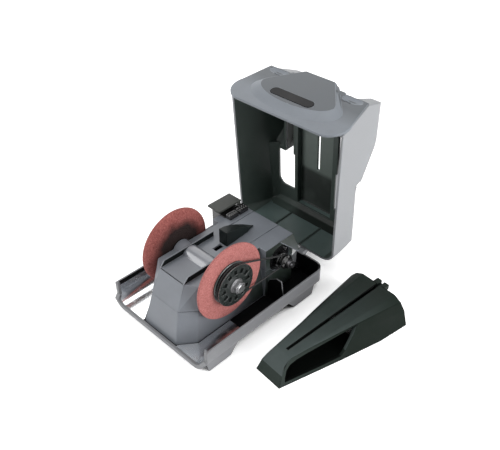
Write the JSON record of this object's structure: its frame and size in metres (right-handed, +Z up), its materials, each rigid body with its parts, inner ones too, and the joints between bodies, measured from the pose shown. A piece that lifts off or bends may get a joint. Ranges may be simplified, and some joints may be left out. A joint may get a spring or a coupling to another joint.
{
  "type": "electric knife sharpener",
  "caption": "Electric knife sharpener with a swung-open lid, abrasive discs on a belt-driven spindle, and a loose knife guide lying beside it.",
  "frame": {"origin": "centre of the set's bounding box in plan, on the table", "axes": "+Z up, +Y from the open front of the tray towards the lid, +X towards the loose guide"},
  "size_m": [0.2182, 0.242, 0.1845],
  "materials": {
    "grey_plastic": "matte",
    "light_plastic": "matte",
    "charcoal_plastic": "fine texture",
    "black_plastic": "gloss",
    "abrasive": "coarse grit",
    "bright_steel": "bright",
    "mirror_sheet": "polished",
    "rubber": "matte"
  },
  "bodies": {
    "base": {"base_tray": "light_plastic", "foot_pads": "rubber", "left_spark_guard": "mirror_sheet", "right_spark_guard": "mirror_sheet", "lower_housing": "charcoal_plastic", "upper_housing": "charcoal_plastic", "base_screws": "bright_steel", "guide_fin": "black_plastic", "left_bearing": "bright_steel", "right_bearing": "bright_steel", "drive_belt": "rubber", "motor_can": "bright_steel", "motor_front_plate": "black_plastic", "motor_rear_cap": "black_plastic", "motor_screws": "bright_steel", "switch_box": "black_plastic", "button_pin": "bright_steel", "front_terminal_block": "black_plastic", "rear_terminal_block": "black_plastic", "terminal_screws": "bright_steel", "hinge_pins": "bright_steel"},
    "spindle": {"spindle_shaft": "bright_steel", "left_disc": "abrasive", "right_disc": "abrasive", "left_disc_hub": "black_plastic", "right_disc_hub": "black_plastic", "drive_pulley": "black_plastic", "left_spindle_nut": "bright_steel", "right_spindle_nut": "bright_steel"},
    "rotor": {"motor_shaft": "bright_steel", "motor_pulley": "black_plastic", "pulley_screw": "bright_steel"},
    "button": {"power_button": "black_plastic"},
    "lid": {"lid_shell": "grey_plastic", "left_disc_hood": "grey_plastic", "right_disc_hood": "grey_plastic", "lid_front_panel": "grey_plastic", "badge_plate": "black_plastic", "panel_screws": "bright_steel"},
    "guide": {"guide_body": "charcoal_plastic", "guide_key": "charcoal_plastic"}
  },
  "joints": [
    {"name": "lid_hinge", "type": "hinge", "parent": "base", "child": "lid", "pos_m": [-0.042, 0.03391, 0.0098], "axis": [1, 0, 0], "range_deg": [0, 86.7]},
    {"name": "spindle_spin", "type": "hinge", "parent": "base", "child": "spindle", "pos_m": [-0.042, -0.06349, 0.0556], "axis": [1, 0, 0], "continuous": true},
    {"name": "rotor_spin", "type": "hinge", "parent": "base", "child": "rotor", "pos_m": [-0.042, 0.00251, 0.042], "axis": [1, 0, 0], "continuous": true},
    {"name": "button_press", "type": "hinge", "parent": "base", "child": "button", "pos_m": [-0.08, 0.01511, 0.0637], "axis": [1, 0, 0], "range_deg": [0, 4], "stiffness_Nm_per_rad": 0.5},
    {"name": "guide_lift", "type": "slide", "parent": "base", "child": "guide", "axis": [0, 0, 1], "range_m": [0, 0.08]}
  ],
  "couplings": [
    {"joint": "rotor_spin", "follows": "spindle_spin", "ratio": 3.3826}
  ]
}
